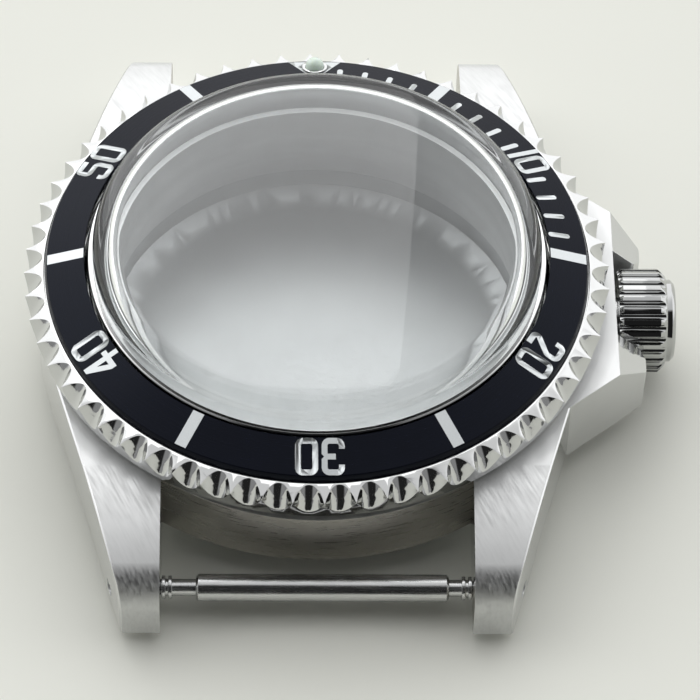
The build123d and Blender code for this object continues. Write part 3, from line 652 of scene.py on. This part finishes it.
def insert_finish(name, colour):
    """Anodised aluminium: near-black, satin, with very fine rings."""
    material, nodes, links, shader = new_material(name)
    rings = ring_noise(nodes, links, across=30000.0, along=2000.0, centre=(0, 0, 0), axis="Z")
    clouds = stretched_noise(nodes, links, (500.0, 500.0, 500.0), detail=3.0)
    shaded_colour(nodes, links, clouds, shader, colour, darker=0.75)
    links.new(spread_value(nodes, links, rings, 0.20, 0.30), shader.inputs["Roughness"])
    shader.inputs["Specular IOR Level"].default_value = 0.14
    shader.inputs["Specular Tint"].default_value = (0.74, 0.82, 1.0, 1.0)
    relief(nodes, links, rings, shader, strength=0.15, depth=0.002 * MM)
    return material


def mark_finish(name, colour):
    """Bare silver marks with a fine grain."""
    material, nodes, links, shader = new_material(name)
    grain = stretched_noise(nodes, links, SILVER_GRAIN, detail=5.0)
    shaded_colour(nodes, links, grain, shader, colour, darker=0.9)
    shader.inputs["Metallic"].default_value = 1.0
    links.new(spread_value(nodes, links, grain, 0.36, 0.46), shader.inputs["Roughness"])
    relief(nodes, links, grain, shader, strength=0.3, depth=0.004 * MM)
    return material


def pearl_finish(name, colour):
    """Pale luminous paint under a clear dome."""
    material, nodes, links, shader = new_material(name)
    grain = stretched_noise(nodes, links, PAINT_GRAIN)
    shaded_colour(nodes, links, grain, shader, colour, darker=0.9)
    links.new(spread_value(nodes, links, grain, 0.18, 0.3), shader.inputs["Roughness"])
    shader.inputs["Subsurface Weight"].default_value = 0.3
    shader.inputs["Subsurface Radius"].default_value = (0.4 * MM, 0.4 * MM, 0.3 * MM)
    shader.inputs["Subsurface Scale"].default_value = 1.0
    shader.inputs["Coat Weight"].default_value = 0.6
    shader.inputs["Coat Roughness"].default_value = 0.05
    return material


def rubber_finish(name):
    """Matt black rubber with a fine moulded grain."""
    material, nodes, links, shader = new_material(name)
    grain = stretched_noise(nodes, links, FINE_GRAIN, detail=5.0)
    shaded_colour(nodes, links, grain, shader, (0.012, 0.012, 0.013), darker=0.7)
    links.new(spread_value(nodes, links, grain, 0.5, 0.75), shader.inputs["Roughness"])
    relief(nodes, links, grain, shader, strength=0.4, depth=0.01 * MM)
    return material


def crystal_finish(name, tint, index):
    """Clear crystal that lets lamp light through to what is behind it."""
    material, nodes, links, shader = new_material(name)
    wear = stretched_noise(nodes, links, (700.0, 700.0, 700.0), detail=3.0)
    shaded_colour(nodes, links, wear, shader, tint, darker=0.995)
    shader.inputs["Roughness"].default_value = 0.0
    shader.inputs["IOR"].default_value = index
    shader.inputs["Transmission Weight"].default_value = 1.0
    clear = nodes.new("ShaderNodeBsdfTransparent")
    clear.inputs["Color"].default_value = (0.92, 0.93, 0.93, 1.0)
    path = nodes.new("ShaderNodeLightPath")
    mix = nodes.new("ShaderNodeMixShader")
    links.new(path.outputs["Is Shadow Ray"], mix.inputs["Fac"])
    links.new(shader.outputs["BSDF"], mix.inputs[1])
    links.new(clear.outputs["BSDF"], mix.inputs[2])
    links.new(mix.outputs["Shader"], nodes["Material Output"].inputs["Surface"])
    return material


# Pieces

class WATCH_OT_mid_case(bpy.types.Operator):
    """Dress the steel body: satin tops, polished sides, satin between the lugs with painted shade,
    turned bore
    """

    bl_idname = "watch.mid_case"
    bl_label = "Mid-case"

    def execute(self, context):
        case = settings()[0]
        piece = copy_of("mid_case", "mid_case_body")
        break_edges(piece, case.edge_break, BODY_ANGLE)
        smooth(piece, BODY_ANGLE)
        satin = brushed_steel(
            "case_satin",
            case.steel,
            case.brushed_roughness,
            BODY_BRUSHING,
            depth=0.003 * MM,
            turn=BODY_BRUSHING_TURN,
        )
        polish = polished_steel("case_polish", case.steel, case.polished_roughness)
        bore = turned_steel("case_bore", case.steel, roughness=0.45, rings_per_metre=900.0)
        # Painted shade: the faces between the lugs get a darker, browner satin steel
        painted_shade_flank = brushed_steel(
            "case_flank_painted_shade", case.flank_shade_steel, roughness=0.30, scale=FLANK_BRUSHING
        )
        place(piece, "case", [satin, polish, bore, painted_shade_flank], "mid_case")
        bore_radius = reach("crystal", 0) + BORE_MARGIN
        for face in piece.data.polygons:
            if math.hypot(face.center.x, face.center.y) < bore_radius:
                face.material_index = BORE
            elif face.normal.z >= TOP_FACE:
                face.material_index = SATIN
            # Faces between the lugs take the satin steel with painted shade
            elif abs(face.center.x) < LUG_INNER_FACE:
                face.material_index = FLANK
            elif abs(face.normal.x) > SIDE_FACE:
                face.material_index = POLISH
        return {"FINISHED"}


class WATCH_OT_case_back(bpy.types.Operator):
    """Dress the screwed back and its gasket"""

    bl_idname = "watch.case_back"
    bl_label = "Case back"

    def execute(self, context):
        case = settings()[0]
        piece = copy_of("case_back", "case_back_shell")
        break_edges(piece, case.edge_break, BODY_ANGLE)
        smooth(piece, BODY_ANGLE)
        blasted = brushed_steel(
            "back_blasted", case.back_steel, roughness=0.42, scale=FINE_GRAIN, depth=0.002 * MM
        )
        place(piece, "back", [blasted], "case_back")
        gasket = copy_of("case_back_gasket", "case_back_seal")
        smooth(gasket, SEAL_ANGLE)
        rubber = rubber_finish("seal_rubber")
        place(gasket, "back_seal", [rubber], "case_back_gasket")
        return {"FINISHED"}


class WATCH_OT_crystal(bpy.types.Operator):
    """Turn the domed crystal from its outline"""

    bl_idname = "watch.crystal"
    bl_label = "Crystal"

    def execute(self, context):
        crystal = settings()[2]
        wall = reach("crystal", 0)
        apex = reach("crystal", 2)
        foot = reach("crystal", 2, 0)
        inner_wall = wall - crystal.thickness
        outer = dome_arc(wall, apex, crystal.dome_radius, crystal.shoulder)
        inner = dome_arc(
            inner_wall,
            apex - crystal.thickness,
            crystal.dome_radius - crystal.thickness,
            crystal.inner_shoulder,
        )
        inner_foot = (inner_wall, foot)
        outline = [inner_foot, (wall, foot), *outer, *reversed(inner), inner_foot]
        points = [(radius, 0, height) for radius, height in outline]
        piece = lathe("crystal_dome", points, CRYSTAL_STEPS)
        break_edges(piece, CRYSTAL_BREAK, DOME_ANGLE)
        choose(piece)
        bpy.ops.object.shade_smooth_by_angle(angle=PART_ANGLE)
        finish = crystal_finish("crystal_clear", crystal.tint, crystal.index)
        place(piece, "case", [finish], "crystal")
        return {"FINISHED"}


class WATCH_OT_retaining_ring(bpy.types.Operator):
    """Dress the ring round the crystal: polished, with a satin inner face brightened as a painted
    highlight
    """

    bl_idname = "watch.retaining_ring"
    bl_label = "Crystal retaining ring"

    def execute(self, context):
        case = settings()[0]
        piece = copy_of("crystal_retaining_ring", "crystal_ring")
        break_edges(piece, FINE_BREAK, PART_ANGLE)
        smooth(piece, BODY_ANGLE)
        polish = polished_steel("ring_polish", case.steel, case.polished_roughness)
        # Painted highlight: the inner face gets steel brighter than bare steel
        satin = brushed_steel(
            "ring_inner_painted_highlight", case.ring_highlight_steel, roughness=0.55, scale=RING_GRAIN
        )
        place(piece, "case", [polish, satin], "crystal_retaining_ring")
        for face in piece.data.polygons:
            outward = Vector((face.center.x, face.center.y, 0.0)).normalized()
            if face.normal.dot(outward) < INWARD_FACE:
                face.material_index = RING_SATIN_HIGHLIGHT
        return {"FINISHED"}


class WATCH_OT_bezel(bpy.types.Operator):
    """Dress the scalloped bezel and the wave washer under it"""

    bl_idname = "watch.bezel"
    bl_label = "Bezel"

    def execute(self, context):
        case, bezel = settings()[:2]
        piece = copy_of("bezel", "bezel_ring")
        break_edges(piece, bezel.edge_break, SCALLOP_ANGLE)
        smooth(piece, SCALLOP_ANGLE)
        polish = polished_steel("bezel_polish", case.steel, case.polished_roughness)
        place(piece, "turning_bezel", [polish], "bezel")
        washer = copy_of("bezel_spring_washer", "bezel_wave_washer")
        smooth(washer, PART_ANGLE)
        spring = brushed_steel("washer_steel", case.steel, roughness=0.35, scale=SPRING_GRAIN)
        place(washer, "case", [spring], "bezel_spring_washer")
        return {"FINISHED"}


class WATCH_OT_insert(bpy.types.Operator):
    """Turn the black insert, and dress its numerals, bars, ticks and triangle"""

    bl_idname = "watch.insert"
    bl_label = "Bezel insert and marks"

    def execute(self, context):
        bezel = settings()[1]
        rim = reach("bezel_insert", 0)
        bore = reach("crystal_retaining_ring", 0) - RIDGE_WIDTH + INSERT_GAP
        top = reach("bezel_insert", 2) - bezel.mark_relief
        face = rim - bezel.edge_width
        face_height = top - math.tan(bezel.face_slope) * (face - bore)
        rim_height = face_height - bezel.edge_drop
        outline = [
            (bore, 0, top - INSERT_THICKNESS),
            (rim, 0, rim_height - INSERT_THICKNESS / 2),
            (rim, 0, rim_height),
            (face, 0, face_height),
            (bore, 0, top),
            (bore, 0, top - INSERT_THICKNESS),
        ]
        piece = lathe("insert_ring", outline, INSERT_STEPS)
        break_edges(piece, SMALL_BREAK, PART_ANGLE)
        smooth(piece, BODY_ANGLE)
        black = insert_finish("insert_anodised", bezel.insert_colour)
        place(piece, "turning_bezel", [black], "bezel_insert")
        silver = mark_finish("mark_silver", bezel.mark_colour)
        for node in ("numerals", "five_minute_bars", "minute_ticks", "zero_triangle"):
            marks = copy_of(node, f"{node}_inlay")
            smooth(marks, PART_ANGLE)
            place(marks, "turning_bezel", [silver], node)
        return {"FINISHED"}


class WATCH_OT_pearl(bpy.types.Operator):
    """Dress the luminous pearl and its cup"""

    bl_idname = "watch.pearl"
    bl_label = "Pearl"

    def execute(self, context):
        case, bezel = settings()[:2]
        cup = copy_of("pearl_cup", "pearl_setting")
        break_edges(cup, FINE_BREAK, PART_ANGLE)
        smooth(cup, PART_ANGLE)
        polish = polished_steel("cup_polish", case.steel, case.polished_roughness)
        place(cup, "turning_bezel", [polish], "pearl_cup")
        pearl = copy_of("pearl", "pearl_dome")
        smooth(pearl, DOME_ANGLE)
        finish = pearl_finish("pearl_paint", bezel.pearl_colour)
        place(pearl, "turning_bezel", [finish], "pearl")
        return {"FINISHED"}


class WATCH_OT_crown(bpy.types.Operator):
    """Dress the fluted crown, its tube and the sprung post"""

    bl_idname = "watch.crown"
    bl_label = "Crown"

    def execute(self, context):
        case = settings()[0]
        polish = polished_steel("crown_polish", case.crown_steel, case.polished_roughness)
        turned = turned_steel(
            "crown_turned",
            case.steel,
            roughness=0.2,
            rings_per_metre=6000.0,
            centre=(0, 0, CROWN_HEIGHT),
            axis="X",
        )
        rubber = rubber_finish("crown_rubber")
        spring = brushed_steel(
            "crown_spring_steel", case.steel, roughness=0.35, scale=SPRING_GRAIN
        )
        for node, body, slot, finish in (
            ("crown_cap", "crown", "polished_steel", polish),
            ("crown_core", "crown", "polished_steel", turned),
            ("crown_washer", "crown", "spring_steel", spring),
            ("crown_spring", "crown", "spring_steel", spring),
            ("crown_gasket", "crown_seal", "black_rubber", rubber),
            ("crown_post", "post", "polished_steel", turned),
            ("crown_tube", "case", "polished_steel", turned),
            ("crown_tube_gaskets", "case", "black_rubber", rubber),
        ):
            piece = copy_of(node, f"{node}_piece")
            break_edges(piece, SMALL_BREAK, PART_ANGLE)
            smooth(piece, FLUTE_ANGLE)
            place(piece, body, [finish], node)
            if node == "crown_spring":
                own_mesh(piece)
        return {"FINISHED"}


class WATCH_OT_spring_bars(bpy.types.Operator):
    """Dress the two spring bars: tubes, pins and springs"""

    bl_idname = "watch.spring_bars"
    bl_label = "Spring bars"

    def execute(self, context):
        case = settings()[0]
        drawn = brushed_steel("bar_drawn", case.steel, roughness=0.25, scale=BAR_BRUSHING)
        spring = brushed_steel("bar_spring_steel", case.steel, roughness=0.3, scale=SPRING_GRAIN)
        for hour in (6, 12):
            bar = f"bar_{hour}"
            for node, body in (
                (f"spring_bar_tube_{hour}", bar),
                (f"spring_bar_left_pin_{hour}", f"{bar}_left_pin"),
                (f"spring_bar_right_pin_{hour}", f"{bar}_right_pin"),
            ):
                piece = copy_of(node, f"{node}_piece")
                break_edges(piece, SMALL_BREAK, PART_ANGLE)
                smooth(piece, PART_ANGLE)
                place(piece, body, [drawn], node)
            for side in ("left", "right"):
                coil = f"spring_bar_spring_{hour}"
                half_spring(coil, side, bar, spring)
        return {"FINISHED"}


def light_studio(stage):
    """Lights the studio by direction: bright behind, dim in front, with a dark card there.

    The ramps start and end at parts of a unit direction, with Y away from the camera and Z up.
    """
    world = bpy.data.worlds.new("studio")
    bpy.context.scene.world = world
    world.use_nodes = True
    nodes, links = world.node_tree.nodes, world.node_tree.links
    direction = nodes.new("ShaderNodeTexCoord")
    split = nodes.new("ShaderNodeSeparateXYZ")
    links.new(direction.outputs["Generated"], split.inputs["Vector"])
    across, depth, height = (split.outputs[axis] for axis in "XYZ")
    side = nodes.new("ShaderNodeMath")
    side.operation = "ABSOLUTE"
    links.new(across, side.inputs[0])
    level = ramp(
        nodes, links, depth, start=-0.35, end=0.25, low=stage.front_light, high=stage.back_light
    )
    overhead = ramp(nodes, links, height, start=0.72, end=0.97, low=0.0, high=1.0)
    level = blend_levels(nodes, links, level, stage.overhead_light, overhead)
    card_width = ramp(nodes, links, side.outputs[0], start=0.42, end=0.60, low=1.0, high=0.0)
    card_depth = ramp(nodes, links, depth, start=-0.24, end=-0.08, low=1.0, high=0.0)
    card_top = ramp(nodes, links, height, start=0.95, end=0.99, low=1.0, high=0.0)
    card = multiply(nodes, links, card_width, card_depth)
    card = multiply(nodes, links, card, card_top)
    level = blend_levels(nodes, links, level, stage.dark_card, card)
    backdrop = nodes["Background"]
    backdrop.inputs["Color"].default_value = (0.985, 0.99, 1.0, 1.0)
    links.new(level, backdrop.inputs["Strength"])


def hang_lamp(name, where, toward, wide, tall, power):
    """Hangs one soft lamp, aimed at a point."""
    data = bpy.data.lights.new(name, "AREA")
    data.shape = "RECTANGLE"
    data.size = wide
    data.size_y = tall
    data.energy = power
    lamp = bpy.data.objects.new(name, data)
    bpy.context.scene.collection.objects.link(lamp)
    lamp.location = where
    aim = Vector(toward) - Vector(where)
    lamp.rotation_mode = "QUATERNION"
    lamp.rotation_quaternion = aim.to_track_quat("-Z", "Y")


class WATCH_OT_stage(bpy.types.Operator):
    """Lay the floor, hang the lamps and place the camera"""

    bl_idname = "watch.stage"
    bl_label = "Stage"

    def execute(self, context):
        stage = settings()[3]
        scene = bpy.context.scene
        deselect_all()
        bpy.ops.mesh.primitive_plane_add(size=FLOOR_SIZE, location=(0, 0, 0))
        floor = bpy.context.object
        floor.name = "floor"
        material, nodes, links, shader = new_material("floor_paper")
        clouds = stretched_noise(nodes, links, (9.0, 9.0, 9.0), detail=3.0)
        shaded_colour(nodes, links, clouds, shader, stage.floor_colour, darker=0.985)
        shader.inputs["Roughness"].default_value = 0.6
        floor.data.materials.append(material)
        for lamp in LAMPS:
            hang_lamp(*lamp)
        light_studio(stage)

        cosine = math.cos(stage.elevation)
        back = Vector(
            (
                math.sin(stage.azimuth) * cosine,
                -math.cos(stage.azimuth) * cosine,
                math.sin(stage.elevation),
            )
        )
        right = Vector((math.cos(stage.azimuth), math.sin(stage.azimuth), 0.0))
        up = back.cross(right)
        rolled_right = right * math.cos(stage.roll) + up * math.sin(stage.roll)
        rolled_up = up * math.cos(stage.roll) - right * math.sin(stage.roll)
        data = bpy.data.cameras.new("camera")
        data.lens = stage.lens
        data.sensor_width = SENSOR_WIDTH
        data.clip_start = NEAREST
        data.clip_end = FARTHEST
        camera = bpy.data.objects.new("camera", data)
        scene.collection.objects.link(camera)
        turn = Matrix((rolled_right, rolled_up, back)).transposed().to_4x4()
        stand = Vector(stage.target) + back * stage.distance
        camera.matrix_world = Matrix.Translation(stand) @ turn
        scene.camera = camera
        scene.view_settings.view_transform = "Standard"
        return {"FINISHED"}


PIECE_OPERATORS = (
    WATCH_OT_mid_case,
    WATCH_OT_case_back,
    WATCH_OT_crystal,
    WATCH_OT_retaining_ring,
    WATCH_OT_bezel,
    WATCH_OT_insert,
    WATCH_OT_pearl,
    WATCH_OT_crown,
    WATCH_OT_spring_bars,
    WATCH_OT_stage,
)


class WATCH_PT_panel(bpy.types.Panel):
    """Sidebar panel with one button for each piece, and the settings"""

    bl_idname = "WATCH_PT_panel"
    bl_label = "Watch Case"
    bl_space_type = "VIEW_3D"
    bl_region_type = "UI"
    bl_category = "Watch Case"

    def draw(self, context):
        layout = self.layout
        for operator in PIECE_OPERATORS:
            layout.operator(operator.bl_idname)
        for group in settings():
            box = layout.box()
            for name in group.__annotations__:
                box.prop(group, name)


SETTING_GROUPS = {
    "watch_case": CaseSettings,
    "watch_bezel": BezelSettings,
    "watch_crystal": CrystalSettings,
    "watch_stage": StageSettings,
}


def register():
    """Registers the settings, the operators and the panel."""
    for name, group in SETTING_GROUPS.items():
        bpy.utils.register_class(group)
        setattr(bpy.types.Scene, name, PointerProperty(type=group))
    for operator in PIECE_OPERATORS:
        bpy.utils.register_class(operator)
    bpy.utils.register_class(WATCH_PT_panel)


def unregister():
    """Takes the panel, the operators and the settings away again."""
    bpy.utils.unregister_class(WATCH_PT_panel)
    for operator in reversed(PIECE_OPERATORS):
        bpy.utils.unregister_class(operator)
    for name, group in SETTING_GROUPS.items():
        delattr(bpy.types.Scene, name)
        bpy.utils.unregister_class(group)


def main():
    """Builds every piece and the stage."""
    register()
    bpy.ops.watch.mid_case()
    bpy.ops.watch.case_back()
    bpy.ops.watch.crystal()
    bpy.ops.watch.retaining_ring()
    bpy.ops.watch.bezel()
    bpy.ops.watch.insert()
    bpy.ops.watch.pearl()
    bpy.ops.watch.crown()
    bpy.ops.watch.spring_bars()
    bpy.ops.watch.stage()


if __name__ == "__main__":
    main()
